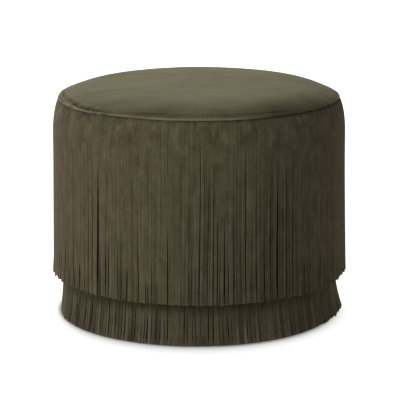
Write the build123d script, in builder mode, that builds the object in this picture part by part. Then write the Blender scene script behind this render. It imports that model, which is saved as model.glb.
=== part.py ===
from build123d import *
import math
import os

os.makedirs("parts", exist_ok=True)

# Driving dimensions in millimetres
BODY_RADIUS = 276.0
WALL_THICKNESS = 5.0
WALL_HEIGHT = 370.0
WALL_JOINT = 1.0
DECK_THICKNESS = 18.0
BASE_THICKNESS = 15.0
POST_SIDE = 40.0
POST_COUNT = 6
SIDE_PADDING = 14.5
SUEDE = 1.6
LINING = 1.0
DUST_COVER = 1.0
DUST_COVER_INSET = 8.0

# Seat form
SEAM_RISE = 64.0
SEAM_INSET = 11.0
SHOULDER_DROP = 88.0
CROWN = 28.0
CROWN_KNEE_INSET = 68.0
CROWN_KNEE_DROP = 9.0
TOP_WADDING = 8.0
FOAM_EDGE_RADIUS = 14.0
WELT_RADIUS = 3.2
WELT_SKIN = 1.2
WELT_SINK = 1.0

# Fringe
UPPER_HEM_HEIGHT = 88.0
UPPER_FLARE = 6.0
UPPER_STRAND_PITCH = 7.3
LOWER_HEM_HEIGHT = 3.0
LOWER_FLARE = 11.0
LOWER_LAP = 34.0
LOWER_SLIT_LAP = 8.0
LOWER_STRAND_PITCH = 7.85
LOWER_BENDS = 3
SLIT_WIDTH = 0.8
STRAND_ROOT = 2.0
STRAND_INSET = 0.1
PANEL_COUNT = 3
UPPER_JOINT_ANGLE = 226.0
LOWER_JOINT_ANGLE = 213.0

# Tack strip and staples
TACK_STRIP_WIDTH = 14.0
TACK_STRIP_THICKNESS = 1.2
TACK_STRIP_DROP = 3.0
STAPLE_CROWN = 10.0
STAPLE_WIRE = 0.9
WALL_STAPLE_LEG = 16.0
WALL_STAPLE_COUNT = 24
TACK_STAPLE_LEG = 9.0
TACK_STAPLE_COUNT = 36
DUST_STAPLE_LEG = 6.0
DUST_STAPLE_COUNT = 24
DUST_STAPLE_INSET = 8.0

# Screws and glides
SCREW_SHANK_RADIUS = 2.4
SCREW_HEAD_RADIUS = 4.8
SCREW_LENGTH = 50.0
SCREW_SPACING = 22.0
SCREW_RECESS_DEPTH = 1.6
SCREW_RECESS_WIDTH = 1.2
SCREW_RECESS_LENGTH = 5.0
GLIDE_RADIUS = 15.0
GLIDE_HEIGHT = 9.0
GLIDE_EDGE = 2.5
GLIDE_COUNT = 6
GLIDE_INSET = 38.0
GLIDE_SCREW_SHANK_RADIUS = 1.8
GLIDE_SCREW_HEAD_RADIUS = 3.6
GLIDE_SCREW_HEAD_HEIGHT = 2.2
GLIDE_SCREW_BITE = 11.0
GLIDE_RECESS_DEPTH = 3.6

# Clearances
SOFT_GAP = 0.3
FIT_GAP = 0.2
SCREW_GAP = 0.1
STAPLE_GAP = 0.06
OVERCUT = 2.0

# Levels
BASE_LEVEL = GLIDE_HEIGHT + DUST_COVER
BASE_TOP = BASE_LEVEL + BASE_THICKNESS
DECK_TOP = BASE_LEVEL + WALL_HEIGHT
DECK_LEVEL = DECK_TOP - DECK_THICKNESS
SEAM_HEIGHT = DECK_TOP + SEAM_RISE
SHOULDER_HEIGHT = SEAM_HEIGHT - SHOULDER_DROP
TOP_HEIGHT = SEAM_HEIGHT + CROWN
LOWER_HEADING_TOP = UPPER_HEM_HEIGHT + LOWER_LAP
LOWER_SLIT_TOP = UPPER_HEM_HEIGHT + LOWER_SLIT_LAP
PADDING_LEVEL = LOWER_HEADING_TOP + LINING + 2 * SOFT_GAP
LINING_TAIL_LEVEL = LOWER_SLIT_TOP + SOFT_GAP

# Radii
FRAME_RADIUS = BODY_RADIUS - WALL_THICKNESS - FIT_GAP
PADDING_RADIUS = BODY_RADIUS + SOFT_GAP + SIDE_PADDING
LINING_RADIUS = PADDING_RADIUS + SOFT_GAP + LINING
SHOULDER_RADIUS = LINING_RADIUS + SOFT_GAP + SUEDE
SEAM_RADIUS = SHOULDER_RADIUS - SEAM_INSET
UPPER_HEM_RADIUS = SHOULDER_RADIUS + UPPER_FLARE
LINING_TAIL_RADIUS = BODY_RADIUS + SOFT_GAP + LINING
LOWER_HEADING_RADIUS = LINING_TAIL_RADIUS + SOFT_GAP + SUEDE
LOWER_HEM_RADIUS = LOWER_HEADING_RADIUS + LOWER_FLARE
TACK_STRIP_RADIUS = LOWER_HEADING_RADIUS + SOFT_GAP + TACK_STRIP_THICKNESS
GLIDE_CIRCLE = BODY_RADIUS - GLIDE_INSET
POST_REACH = math.sqrt(FRAME_RADIUS**2 - (POST_SIDE / 2) ** 2)
POST_CIRCLE = POST_REACH - POST_SIDE / 2
POST_START = 180.0 / POST_COUNT
WELT_CENTRE = (SEAM_RADIUS - WELT_SINK, SEAM_HEIGHT - WELT_SINK)
WELT_BORE = WELT_RADIUS - WELT_SKIN

# Strand counts
UPPER_STRANDS = round(2 * math.pi * UPPER_HEM_RADIUS / PANEL_COUNT / UPPER_STRAND_PITCH)
LOWER_STRANDS = round(2 * math.pi * LOWER_HEM_RADIUS / PANEL_COUNT / LOWER_STRAND_PITCH)
PANEL_ANGLE = 360.0 / PANEL_COUNT


def under_crown(lowered):
    # Area under the crowned seat surface, moved down by a depth
    with BuildSketch() as area:
        with BuildLine():
            dome = TangentArc(
                (0, TOP_HEIGHT - lowered),
                (SEAM_RADIUS - CROWN_KNEE_INSET, TOP_HEIGHT - CROWN_KNEE_DROP - lowered),
                tangent=(1, 0),
            )
            edge = TangentArc(dome @ 1, (SEAM_RADIUS, SEAM_HEIGHT - lowered), tangent=dome % 1)
            Polyline(edge @ 1, (SEAM_RADIUS, BASE_LEVEL), (0, BASE_LEVEL), dome @ 0)
        make_face()
    return area.sketch


def inside_shoulder(inset):
    # Area inside the shouldered side, moved in by a depth
    with BuildSketch() as area:
        with BuildLine():
            shoulder = TangentArc(
                (SHOULDER_RADIUS - inset, SHOULDER_HEIGHT),
                (SEAM_RADIUS - inset, SEAM_HEIGHT),
                tangent=(0, 1),
            )
            Polyline(
                shoulder @ 1,
                (SEAM_RADIUS - inset, TOP_HEIGHT),
                (0, TOP_HEIGHT),
                (0, BASE_LEVEL),
                (SHOULDER_RADIUS - inset, BASE_LEVEL),
                shoulder @ 0,
            )
        make_face()
    return area.sketch


def band(inner, outer, low, high):
    # Upright rectangle between two radii and two levels
    with BuildSketch() as area:
        with Locations((inner, low)):
            Rectangle(outer - inner, high - low, align=(Align.MIN, Align.MIN))
    return area.sketch


def foam_area(grow):
    # Half section of the seat foam, grown by a clearance
    with BuildSketch() as area:
        add(under_crown(SUEDE + 2 * SOFT_GAP + TOP_WADDING - grow))
        add(band(0, BODY_RADIUS + grow, DECK_TOP, TOP_HEIGHT), mode=Mode.INTERSECT)
        rim = area.vertices().group_by(Axis.X)[-1].sort_by(Axis.Y)[-1]
        fillet(rim, radius=FOAM_EDGE_RADIUS + grow)
    return area.sketch


def welt_room():
    # Room left round the edge welt
    with BuildSketch() as area:
        with Locations(WELT_CENTRE):
            Circle(WELT_RADIUS + SOFT_GAP)
    return area.sketch


def radial_staples(face_radius, level, leg, count, start, grow):
    # Staples driven towards the axis, crown flush with a round face
    wire = STAPLE_WIRE + 2 * grow
    crown = STAPLE_CROWN + 2 * grow
    with BuildPart() as staples:
        with BuildSketch(Plane.XY.offset(level)):
            with PolarLocations(face_radius, count, start_angle=start):
                with Locations((grow, 0)):
                    Rectangle(wire, crown, align=(Align.MAX, Align.CENTER))
                with Locations((grow, STAPLE_CROWN / 2 + grow)):
                    Rectangle(leg + 2 * grow, wire, align=(Align.MAX, Align.MAX))
                with Locations((grow, -STAPLE_CROWN / 2 - grow)):
                    Rectangle(leg + 2 * grow, wire, align=(Align.MAX, Align.MIN))
        extrude(amount=wire / 2, both=True)
    return staples.part


def upright_staples(circle, level, leg, count, start, grow):
    # Staples driven upwards, crown against the underside of a sheet
    wire = STAPLE_WIRE + 2 * grow
    with BuildPart() as staples:
        with BuildSketch(Plane.XY.offset(level - STAPLE_WIRE - grow)):
            with PolarLocations(circle, count, start_angle=start):
                Rectangle(wire, STAPLE_CROWN + 2 * grow)
        extrude(amount=wire)
        with BuildSketch(Plane.XY.offset(level - STAPLE_WIRE - grow)):
            with PolarLocations(circle, count, start_angle=start):
                with Locations((0, (STAPLE_CROWN - STAPLE_WIRE) / 2)):
                    Rectangle(wire, wire)
                with Locations((0, (STAPLE_WIRE - STAPLE_CROWN) / 2)):
                    Rectangle(wire, wire)
        extrude(amount=leg + 2 * grow)
    return staples.part


def wood_screw():
    # Countersunk wood screw, head face at the origin and point downwards
    with BuildPart() as screw:
        with BuildSketch(Plane.XZ):
            with BuildLine():
                Polyline(
                    (0, 0),
                    (SCREW_HEAD_RADIUS, 0),
                    (SCREW_SHANK_RADIUS, SCREW_SHANK_RADIUS - SCREW_HEAD_RADIUS),
                    (SCREW_SHANK_RADIUS, 2 * SCREW_SHANK_RADIUS - SCREW_LENGTH),
                    (0, -SCREW_LENGTH),
                    close=True,
                )
            make_face()
        revolve(axis=Axis.Z)
        with BuildSketch(Plane.XY):
            Rectangle(SCREW_RECESS_LENGTH, SCREW_RECESS_WIDTH)
            Rectangle(SCREW_RECESS_WIDTH, SCREW_RECESS_LENGTH)
        extrude(amount=-SCREW_RECESS_DEPTH, mode=Mode.SUBTRACT)
    return screw.part


def screw_room():
    # Hole left for the wood screw, from its head face downwards
    with BuildPart() as room:
        with BuildSketch(Plane.XZ):
            with BuildLine():
                Polyline(
                    (0, 0),
                    (SCREW_HEAD_RADIUS + SCREW_GAP, 0),
                    (SCREW_SHANK_RADIUS + SCREW_GAP, SCREW_SHANK_RADIUS - SCREW_HEAD_RADIUS),
                    (SCREW_SHANK_RADIUS + SCREW_GAP, -SCREW_LENGTH - SCREW_GAP),
                    (0, -SCREW_LENGTH - SCREW_GAP),
                    close=True,
                )
            make_face()
        revolve(axis=Axis.Z)
    return room.part


def screw_places():
    # Two screws to each post, side by side across the radius
    return [
        Location((0, 0, 0), (0, 0, POST_START + index * 360.0 / POST_COUNT))
        * Location((POST_CIRCLE, side, 0))
        for index in range(POST_COUNT)
        for side in (-SCREW_SPACING / 2, SCREW_SPACING / 2)
    ]


DECK_PLACES = [Location((0, 0, DECK_TOP)) * place for place in screw_places()]
TURNED_OVER = Location((0, 0, 0), (180, 0, 0))
BASE_PLACES = [Location((0, 0, BASE_LEVEL)) * place * TURNED_OVER for place in screw_places()]
WALL_STAPLE_LEVELS = (BASE_LEVEL + BASE_THICKNESS / 2, DECK_TOP - DECK_THICKNESS / 2)
DUST_RADIUS = FRAME_RADIUS - DUST_COVER_INSET
DUST_STAPLE_CIRCLE = DUST_RADIUS - DUST_STAPLE_INSET
TACK_STRIP_TOP = LOWER_HEADING_TOP - TACK_STRIP_DROP
TACK_STAPLE_LEVEL = TACK_STRIP_TOP - TACK_STRIP_WIDTH / 2


def wall_staple_ring(level, grow):
    # One ring of wall staples, turned to miss the wall joint
    start = 180.0 / WALL_STAPLE_COUNT
    return radial_staples(BODY_RADIUS, level, WALL_STAPLE_LEG, WALL_STAPLE_COUNT, start, grow)


def wall_staple_set(grow):
    # Both rings of wall staples
    return [wall_staple_ring(level, grow) for level in WALL_STAPLE_LEVELS]


def tack_staple_set(grow):
    # Staples through the tack strip
    start = 180.0 / TACK_STAPLE_COUNT
    face = TACK_STRIP_RADIUS + STAPLE_WIRE + 2 * STAPLE_GAP
    return radial_staples(face, TACK_STAPLE_LEVEL, TACK_STAPLE_LEG, TACK_STAPLE_COUNT, start, grow)


def dust_staple_set(grow):
    # Staples through the dust cover
    return upright_staples(DUST_STAPLE_CIRCLE, GLIDE_HEIGHT, DUST_STAPLE_LEG, DUST_STAPLE_COUNT, 0, grow)


# Base panel
with BuildPart() as base_panel:
    with Locations((0, 0, BASE_LEVEL)):
        Cylinder(FRAME_RADIUS, BASE_THICKNESS, align=(Align.CENTER, Align.CENTER, Align.MIN))
    with Locations(*BASE_PLACES):
        add(screw_room(), mode=Mode.SUBTRACT)
    with BuildSketch(Plane.XY.offset(BASE_LEVEL)):
        with PolarLocations(GLIDE_CIRCLE, GLIDE_COUNT):
            Circle(GLIDE_SCREW_SHANK_RADIUS + SCREW_GAP)
    extrude(amount=GLIDE_SCREW_BITE + SCREW_GAP, mode=Mode.SUBTRACT)
    add(wall_staple_ring(WALL_STAPLE_LEVELS[0], STAPLE_GAP), mode=Mode.SUBTRACT)
    add(dust_staple_set(STAPLE_GAP), mode=Mode.SUBTRACT)
base_panel.part.label = "base_panel"
export_step(base_panel.part, "parts/base_panel.step")

# Seat deck
with BuildPart() as seat_deck:
    with Locations((0, 0, DECK_LEVEL)):
        Cylinder(FRAME_RADIUS, DECK_THICKNESS, align=(Align.CENTER, Align.CENTER, Align.MIN))
    with Locations(*DECK_PLACES):
        add(screw_room(), mode=Mode.SUBTRACT)
    add(wall_staple_ring(WALL_STAPLE_LEVELS[1], STAPLE_GAP), mode=Mode.SUBTRACT)
seat_deck.part.label = "seat_deck"
export_step(seat_deck.part, "parts/seat_deck.step")

# Frame posts
for index in range(POST_COUNT):
    post_turn = POST_START + index * 360.0 / POST_COUNT
    post_places = DECK_PLACES[2 * index:2 * index + 2] + BASE_PLACES[2 * index:2 * index + 2]
    with BuildPart() as frame_post:
        with Locations(Location((0, 0, BASE_TOP), (0, 0, post_turn)) * Location((POST_CIRCLE, 0, 0))):
            Box(POST_SIDE, POST_SIDE, DECK_LEVEL - BASE_TOP, align=(Align.CENTER, Align.CENTER, Align.MIN))
        with Locations(*post_places):
            add(screw_room(), mode=Mode.SUBTRACT)
    frame_post.part.label = f"frame_post_{index + 1}"
    export_step(frame_post.part, f"parts/frame_post_{index + 1}.step")

# Bent wall panel with its butt joint at the back
with BuildPart() as wall_panel:
    with BuildSketch(Plane.XY.offset(BASE_LEVEL)):
        Circle(BODY_RADIUS)
        Circle(BODY_RADIUS - WALL_THICKNESS, mode=Mode.SUBTRACT)
        with Locations((0, BODY_RADIUS - WALL_THICKNESS / 2)):
            Rectangle(WALL_JOINT, WALL_THICKNESS + 2 * OVERCUT, mode=Mode.SUBTRACT)
    extrude(amount=WALL_HEIGHT)
    add(wall_staple_set(STAPLE_GAP), mode=Mode.SUBTRACT)
    add(tack_staple_set(STAPLE_GAP), mode=Mode.SUBTRACT)
wall_panel.part.label = "wall_panel"
export_step(wall_panel.part, "parts/wall_panel.step")

# Side padding
with BuildPart() as side_padding:
    with BuildSketch(Plane.XZ):
        add(band(BODY_RADIUS + SOFT_GAP, PADDING_RADIUS, PADDING_LEVEL, SHOULDER_HEIGHT))
    revolve(axis=Axis.Z)
side_padding.part.label = "side_padding"
export_step(side_padding.part, "parts/side_padding.step")

# Seat foam
with BuildPart() as seat_foam:
    with BuildSketch(Plane.XZ):
        add(foam_area(0))
    revolve(axis=Axis.Z)
seat_foam.part.label = "seat_foam"
export_step(seat_foam.part, "parts/seat_foam.step")

# Seat wadding, a cap over the foam that laps down over the wall
LINING_INSET = SUEDE + SOFT_GAP
WADDING_INSET = LINING_INSET + LINING + SOFT_GAP
with BuildPart() as seat_wadding:
    with BuildSketch(Plane.XZ):
        add(under_crown(SUEDE + SOFT_GAP))
        add(inside_shoulder(WADDING_INSET), mode=Mode.INTERSECT)
        add(band(0, SHOULDER_RADIUS, BASE_LEVEL, SHOULDER_HEIGHT + SOFT_GAP), mode=Mode.SUBTRACT)
        add(band(0, BODY_RADIUS + SOFT_GAP, BASE_LEVEL, DECK_TOP), mode=Mode.SUBTRACT)
        add(foam_area(SOFT_GAP), mode=Mode.SUBTRACT)
        add(welt_room(), mode=Mode.SUBTRACT)
    revolve(axis=Axis.Z)
seat_wadding.part.label = "seat_wadding"
export_step(seat_wadding.part, "parts/seat_wadding.step")

# Side lining, sewn in at the seam, lapped under the padding and stapled to the wall
SEAM_EDGE = WELT_CENTRE[1] - WELT_RADIUS - SOFT_GAP
LIP_LEVEL = LOWER_HEADING_TOP + SOFT_GAP
with BuildPart() as side_lining:
    with BuildSketch(Plane.XZ):
        add(inside_shoulder(LINING_INSET))
        add(inside_shoulder(LINING_INSET + LINING), mode=Mode.SUBTRACT)
        add(band(0, SHOULDER_RADIUS, LIP_LEVEL, SEAM_EDGE), mode=Mode.INTERSECT)
        add(band(LINING_TAIL_RADIUS - LINING, LINING_RADIUS, LIP_LEVEL, LIP_LEVEL + LINING))
        add(band(LINING_TAIL_RADIUS - LINING, LINING_TAIL_RADIUS, LINING_TAIL_LEVEL, LIP_LEVEL + LINING))
    revolve(axis=Axis.Z)
    add(tack_staple_set(STAPLE_GAP), mode=Mode.SUBTRACT)
side_lining.part.label = "side_lining"
export_step(side_lining.part, "parts/side_lining.step")

# Top cover
with BuildPart() as top_cover:
    with BuildSketch(Plane.XZ):
        add(under_crown(0))
        add(under_crown(SUEDE), mode=Mode.SUBTRACT)
        add(band(0, WELT_CENTRE[0] - WELT_RADIUS - SOFT_GAP, BASE_LEVEL, TOP_HEIGHT), mode=Mode.INTERSECT)
    revolve(axis=Axis.Z)
top_cover.part.label = "top_cover"
export_step(top_cover.part, "parts/top_cover.step")

# Edge welt and the cord inside it
with BuildPart() as edge_welt:
    with BuildSketch(Plane.XZ):
        with Locations(WELT_CENTRE):
            Circle(WELT_RADIUS)
            Circle(WELT_BORE, mode=Mode.SUBTRACT)
    revolve(axis=Axis.Z)
edge_welt.part.label = "edge_welt"
export_step(edge_welt.part, "parts/edge_welt.step")

with BuildPart() as welt_cord:
    with BuildSketch(Plane.XZ):
        with Locations(WELT_CENTRE):
            Circle(WELT_BORE - FIT_GAP)
    revolve(axis=Axis.Z)
welt_cord.part.label = "welt_cord"
export_step(welt_cord.part, "parts/welt_cord.step")

# Upper fringe panel, an uncut heading sewn in at the seam with strands cut up to its lower edge
UPPER_STEP = PANEL_ANGLE / UPPER_STRANDS
UPPER_HALF_GAP = math.degrees(SLIT_WIDTH / 2 / SHOULDER_RADIUS)
UPPER_STRAND_WIDTH = math.radians(UPPER_STEP) * SHOULDER_RADIUS - SLIT_WIDTH
STRAND_THICKNESS = SUEDE - 2 * STRAND_INSET
with BuildPart() as upper_strand:
    with BuildSketch(Plane.XZ):
        with BuildLine():
            Polyline(
                (SHOULDER_RADIUS - STRAND_INSET, SHOULDER_HEIGHT + STRAND_ROOT),
                (SHOULDER_RADIUS - STRAND_INSET, SHOULDER_HEIGHT),
                (UPPER_HEM_RADIUS, UPPER_HEM_HEIGHT),
                (UPPER_HEM_RADIUS - STRAND_THICKNESS, UPPER_HEM_HEIGHT),
                (SHOULDER_RADIUS - STRAND_INSET - STRAND_THICKNESS, SHOULDER_HEIGHT),
                (SHOULDER_RADIUS - STRAND_INSET - STRAND_THICKNESS, SHOULDER_HEIGHT + STRAND_ROOT),
                close=True,
            )
        make_face()
    extrude(amount=UPPER_STRAND_WIDTH / 2, both=True)

with BuildPart() as upper_panel:
    with BuildSketch(Plane.XZ):
        add(inside_shoulder(0))
        add(inside_shoulder(SUEDE), mode=Mode.SUBTRACT)
        add(band(0, SHOULDER_RADIUS, SHOULDER_HEIGHT, SEAM_EDGE), mode=Mode.INTERSECT)
    revolve(axis=Axis.Z, revolution_arc=PANEL_ANGLE - 2 * UPPER_HALF_GAP)
    with PolarLocations(
        0,
        UPPER_STRANDS,
        start_angle=UPPER_STEP / 2 - UPPER_HALF_GAP,
        angular_range=UPPER_STEP * UPPER_STRANDS,
    ):
        add(upper_strand.part)

for index in range(PANEL_COUNT):
    upper_turn = UPPER_JOINT_ANGLE + UPPER_HALF_GAP + index * PANEL_ANGLE
    upper_fringe = upper_panel.part.rotate(Axis.Z, upper_turn)
    upper_fringe.label = f"upper_fringe_{index + 1}"
    export_step(upper_fringe, f"parts/upper_fringe_{index + 1}.step")

# Lower fringe panel, heading tacked to the wall and strands flared to the floor
LOWER_STEP = PANEL_ANGLE / LOWER_STRANDS
LOWER_HALF_GAP = math.degrees(SLIT_WIDTH / 2 / LOWER_HEADING_RADIUS)
LOWER_STRAND_WIDTH = math.radians(LOWER_STEP) * LOWER_HEADING_RADIUS - SLIT_WIDTH


def lower_bend(share, depth):
    # Point on a lower strand, a share of the way down and a depth into it
    radius = LOWER_HEADING_RADIUS - STRAND_INSET - depth + LOWER_FLARE * share**2
    return (radius, LOWER_SLIT_TOP + share * (LOWER_HEM_HEIGHT - LOWER_SLIT_TOP))


LOWER_SHARES = [bend / LOWER_BENDS for bend in range(LOWER_BENDS + 1)]
LOWER_FRONT = [lower_bend(share, 0) for share in LOWER_SHARES]
LOWER_BACK = [lower_bend(share, STRAND_THICKNESS) for share in reversed(LOWER_SHARES)]
with BuildPart() as lower_strand:
    with BuildSketch(Plane.XZ):
        with BuildLine():
            Polyline(
                (LOWER_FRONT[0][0], LOWER_SLIT_TOP + STRAND_ROOT),
                *LOWER_FRONT,
                *LOWER_BACK,
                (LOWER_BACK[-1][0], LOWER_SLIT_TOP + STRAND_ROOT),
                close=True,
            )
        make_face()
    extrude(amount=LOWER_STRAND_WIDTH / 2, both=True)

with BuildPart() as lower_panel:
    with BuildSketch(Plane.XZ):
        add(band(LOWER_HEADING_RADIUS - SUEDE, LOWER_HEADING_RADIUS, LOWER_SLIT_TOP, LOWER_HEADING_TOP))
    revolve(axis=Axis.Z, revolution_arc=PANEL_ANGLE - 2 * LOWER_HALF_GAP)
    with PolarLocations(
        0,
        LOWER_STRANDS,
        start_angle=LOWER_STEP / 2 - LOWER_HALF_GAP,
        angular_range=LOWER_STEP * LOWER_STRANDS,
    ):
        add(lower_strand.part)

for index in range(PANEL_COUNT):
    lower_turn = LOWER_JOINT_ANGLE + LOWER_HALF_GAP + index * PANEL_ANGLE
    with BuildPart() as lower_fringe:
        add(lower_panel.part.rotate(Axis.Z, lower_turn))
        add(tack_staple_set(STAPLE_GAP), mode=Mode.SUBTRACT)
    lower_fringe.part.label = f"lower_fringe_{index + 1}"
    export_step(lower_fringe.part, f"parts/lower_fringe_{index + 1}.step")

# Tack strip over the heading of the lower fringe, with its joint at the back
with BuildPart() as tack_strip:
    with BuildSketch(Plane.XY.offset(TACK_STRIP_TOP - TACK_STRIP_WIDTH)):
        Circle(TACK_STRIP_RADIUS)
        Circle(TACK_STRIP_RADIUS - TACK_STRIP_THICKNESS, mode=Mode.SUBTRACT)
        with Locations((0, TACK_STRIP_RADIUS)):
            Rectangle(WALL_JOINT, 2 * (TACK_STRIP_THICKNESS + OVERCUT), mode=Mode.SUBTRACT)
    extrude(amount=TACK_STRIP_WIDTH)
    add(tack_staple_set(STAPLE_GAP), mode=Mode.SUBTRACT)
tack_strip.part.label = "tack_strip"
export_step(tack_strip.part, "parts/tack_strip.step")

# Staples
with BuildPart() as wall_staples:
    add(wall_staple_set(0))
wall_staples.part.label = "wall_staples"
export_step(wall_staples.part, "parts/wall_staples.step")

with BuildPart() as tack_strip_staples:
    add(tack_staple_set(0))
tack_strip_staples.part.label = "tack_strip_staples"
export_step(tack_strip_staples.part, "parts/tack_strip_staples.step")

with BuildPart() as dust_cover_staples:
    add(dust_staple_set(0))
dust_cover_staples.part.label = "dust_cover_staples"
export_step(dust_cover_staples.part, "parts/dust_cover_staples.step")

# Screws
with BuildPart() as deck_screws:
    with Locations(*DECK_PLACES):
        add(wood_screw())
deck_screws.part.label = "deck_screws"
export_step(deck_screws.part, "parts/deck_screws.step")

with BuildPart() as base_screws:
    with Locations(*BASE_PLACES):
        add(wood_screw())
base_screws.part.label = "base_screws"
export_step(base_screws.part, "parts/base_screws.step")

# Dust cover under the base
with BuildPart() as dust_cover:
    with BuildSketch(Plane.XY.offset(GLIDE_HEIGHT)):
        Circle(DUST_RADIUS)
        with PolarLocations(GLIDE_CIRCLE, GLIDE_COUNT):
            Circle(GLIDE_SCREW_SHANK_RADIUS + SCREW_GAP, mode=Mode.SUBTRACT)
    extrude(amount=DUST_COVER)
    add(dust_staple_set(STAPLE_GAP), mode=Mode.SUBTRACT)
dust_cover.part.label = "dust_cover"
export_step(dust_cover.part, "parts/dust_cover.step")

# Foot glides
GLIDE_BORE_DEPTH = GLIDE_RECESS_DEPTH + GLIDE_SCREW_HEAD_HEIGHT
for index in range(GLIDE_COUNT):
    glide_turn = index * 360.0 / GLIDE_COUNT
    glide_place = Location((0, 0, 0), (0, 0, glide_turn)) * Location((GLIDE_CIRCLE, 0, 0))
    with BuildPart() as glide:
        with Locations(glide_place):
            Cylinder(GLIDE_RADIUS, GLIDE_HEIGHT, align=(Align.CENTER, Align.CENTER, Align.MIN))
        fillet(glide.edges().sort_by(Axis.Z)[0], radius=GLIDE_EDGE)
        with Locations(glide.faces().sort_by(Axis.Z)[0]):
            CounterBoreHole(
                GLIDE_SCREW_SHANK_RADIUS + SCREW_GAP,
                GLIDE_SCREW_HEAD_RADIUS + SCREW_GAP,
                GLIDE_BORE_DEPTH,
            )
    glide.part.label = f"glide_{index + 1}"
    export_step(glide.part, f"parts/glide_{index + 1}.step")

# Glide screws
with BuildPart() as glide_screws:
    with BuildSketch(Plane.XY.offset(GLIDE_RECESS_DEPTH)):
        with PolarLocations(GLIDE_CIRCLE, GLIDE_COUNT):
            Circle(GLIDE_SCREW_HEAD_RADIUS)
    extrude(amount=GLIDE_SCREW_HEAD_HEIGHT)
    with BuildSketch(Plane.XY.offset(GLIDE_BORE_DEPTH)):
        with PolarLocations(GLIDE_CIRCLE, GLIDE_COUNT):
            Circle(GLIDE_SCREW_SHANK_RADIUS)
    extrude(amount=BASE_LEVEL + GLIDE_SCREW_BITE - GLIDE_BORE_DEPTH)
    with BuildSketch(Plane.XY.offset(GLIDE_RECESS_DEPTH)):
        with PolarLocations(GLIDE_CIRCLE, GLIDE_COUNT):
            Rectangle(SCREW_RECESS_LENGTH, SCREW_RECESS_WIDTH)
            Rectangle(SCREW_RECESS_WIDTH, SCREW_RECESS_LENGTH)
    extrude(amount=GLIDE_SCREW_HEAD_HEIGHT / 2, mode=Mode.SUBTRACT)
glide_screws.part.label = "glide_screws"
export_step(glide_screws.part, "parts/glide_screws.step")
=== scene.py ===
import math
import random

import bpy
import numpy as np
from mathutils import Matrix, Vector, noise


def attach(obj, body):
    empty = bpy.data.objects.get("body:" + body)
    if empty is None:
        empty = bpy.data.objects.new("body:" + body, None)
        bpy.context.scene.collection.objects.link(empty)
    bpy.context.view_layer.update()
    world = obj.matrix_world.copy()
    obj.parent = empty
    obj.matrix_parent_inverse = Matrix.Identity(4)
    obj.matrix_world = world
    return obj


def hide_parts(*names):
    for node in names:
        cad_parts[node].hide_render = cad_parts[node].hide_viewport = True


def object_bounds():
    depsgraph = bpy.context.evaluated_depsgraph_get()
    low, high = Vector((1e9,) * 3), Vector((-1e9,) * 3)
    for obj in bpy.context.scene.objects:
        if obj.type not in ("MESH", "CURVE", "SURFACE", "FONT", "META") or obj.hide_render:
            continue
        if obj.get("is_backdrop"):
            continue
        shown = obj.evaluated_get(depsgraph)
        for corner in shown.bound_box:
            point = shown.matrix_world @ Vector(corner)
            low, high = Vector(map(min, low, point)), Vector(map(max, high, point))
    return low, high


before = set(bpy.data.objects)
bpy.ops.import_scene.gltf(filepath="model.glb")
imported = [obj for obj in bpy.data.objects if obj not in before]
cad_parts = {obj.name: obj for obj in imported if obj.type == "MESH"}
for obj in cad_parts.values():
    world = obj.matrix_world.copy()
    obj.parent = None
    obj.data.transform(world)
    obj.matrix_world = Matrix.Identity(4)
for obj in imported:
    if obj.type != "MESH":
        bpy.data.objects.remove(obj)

CAD_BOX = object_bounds()

# Sizes in metres, close to those in the part's source
SEAM_LIFT = 0.0030  # The stuffed edge draws the seam up at the front
SEAM_R, SEAM_Z = 0.2812, 0.4432 + SEAM_LIFT
TOP_Z = 0.4724
WELT_R, WELT_Z = 0.2824, 0.4424 + SEAM_LIFT
HEADING_R, HEADING_TOP = 0.2822, 0.4412 + SEAM_LIFT
SHOULDER_R, SHOULDER_Z = 0.2958, 0.350
UPPER_HEM_R, UPPER_HEM_Z = 0.300, 0.088
LOWER_HEAD_R, LOWER_TOP_Z = 0.2792, 0.121
LOWER_SLIT_Z, LOWER_HEM_Z = 0.096, 0.003
WALL_R = 0.2772
SUEDE = 0.0015
CLOTH = 0.0008
PANELS = 3
UPPER_STRANDS, LOWER_STRANDS = 86, 77
UPPER_JOINT, LOWER_JOINT = 226.0, 213.0


# Small helpers

def smooth(x, lo, hi):
    t = min(max((x - lo) / (hi - lo), 0.0), 1.0)
    return t * t * (3 - 2 * t)


def band(x, span):
    # Rises between the span's first two values, stays at one, and falls between its last two
    start, full, fade, end = span
    return smooth(x, start, full) * (1 - smooth(x, fade, end))


def steps(high, low, count):
    return [high + (low - high) * i / count for i in range(count + 1)]


def wave(seed, *where):
    p = list(where) + [0.0] * (3 - len(where))
    return noise.noise(Vector((p[0] + 17.3 * seed, p[1] - 9.1 * seed, p[2] + 5.7 * seed)))


def round_wave(seed, phi, freq, z=0.0):
    # Noise that closes on itself round the axis
    return wave(seed, math.cos(phi) * freq, math.sin(phi) * freq, z)


def front_angle(phi):
    # Degrees from the photographed front, left of it negative
    return (math.degrees(phi) - 270.0 + 180.0) % 360.0 - 180.0


def on_circle(r, phi, z):
    return r * math.cos(phi), r * math.sin(phi), z


def new_object(name, verts, faces, material, uvs=None, tones=None):
    mesh = bpy.data.meshes.new(name)
    mesh.from_pydata([tuple(v) for v in verts], [], faces)
    if uvs is not None:
        layer = mesh.uv_layers.new(name="UVMap")
        loop_verts = np.empty(len(mesh.loops), np.int32)
        mesh.loops.foreach_get("vertex_index", loop_verts)
        layer.data.foreach_set("uv", np.asarray(uvs, np.float32)[loop_verts].ravel())
    if tones is not None:
        attribute = mesh.attributes.new("tone", "FLOAT", "POINT")
        attribute.data.foreach_set("value", np.asarray(tones, np.float32))
    mesh.materials.append(material)
    mesh.polygons.foreach_set("use_smooth", [True] * len(mesh.polygons))
    mesh.validate()
    mesh.update()
    made = bpy.data.objects.new(name, mesh)
    bpy.context.scene.collection.objects.link(made)
    return made


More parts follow.
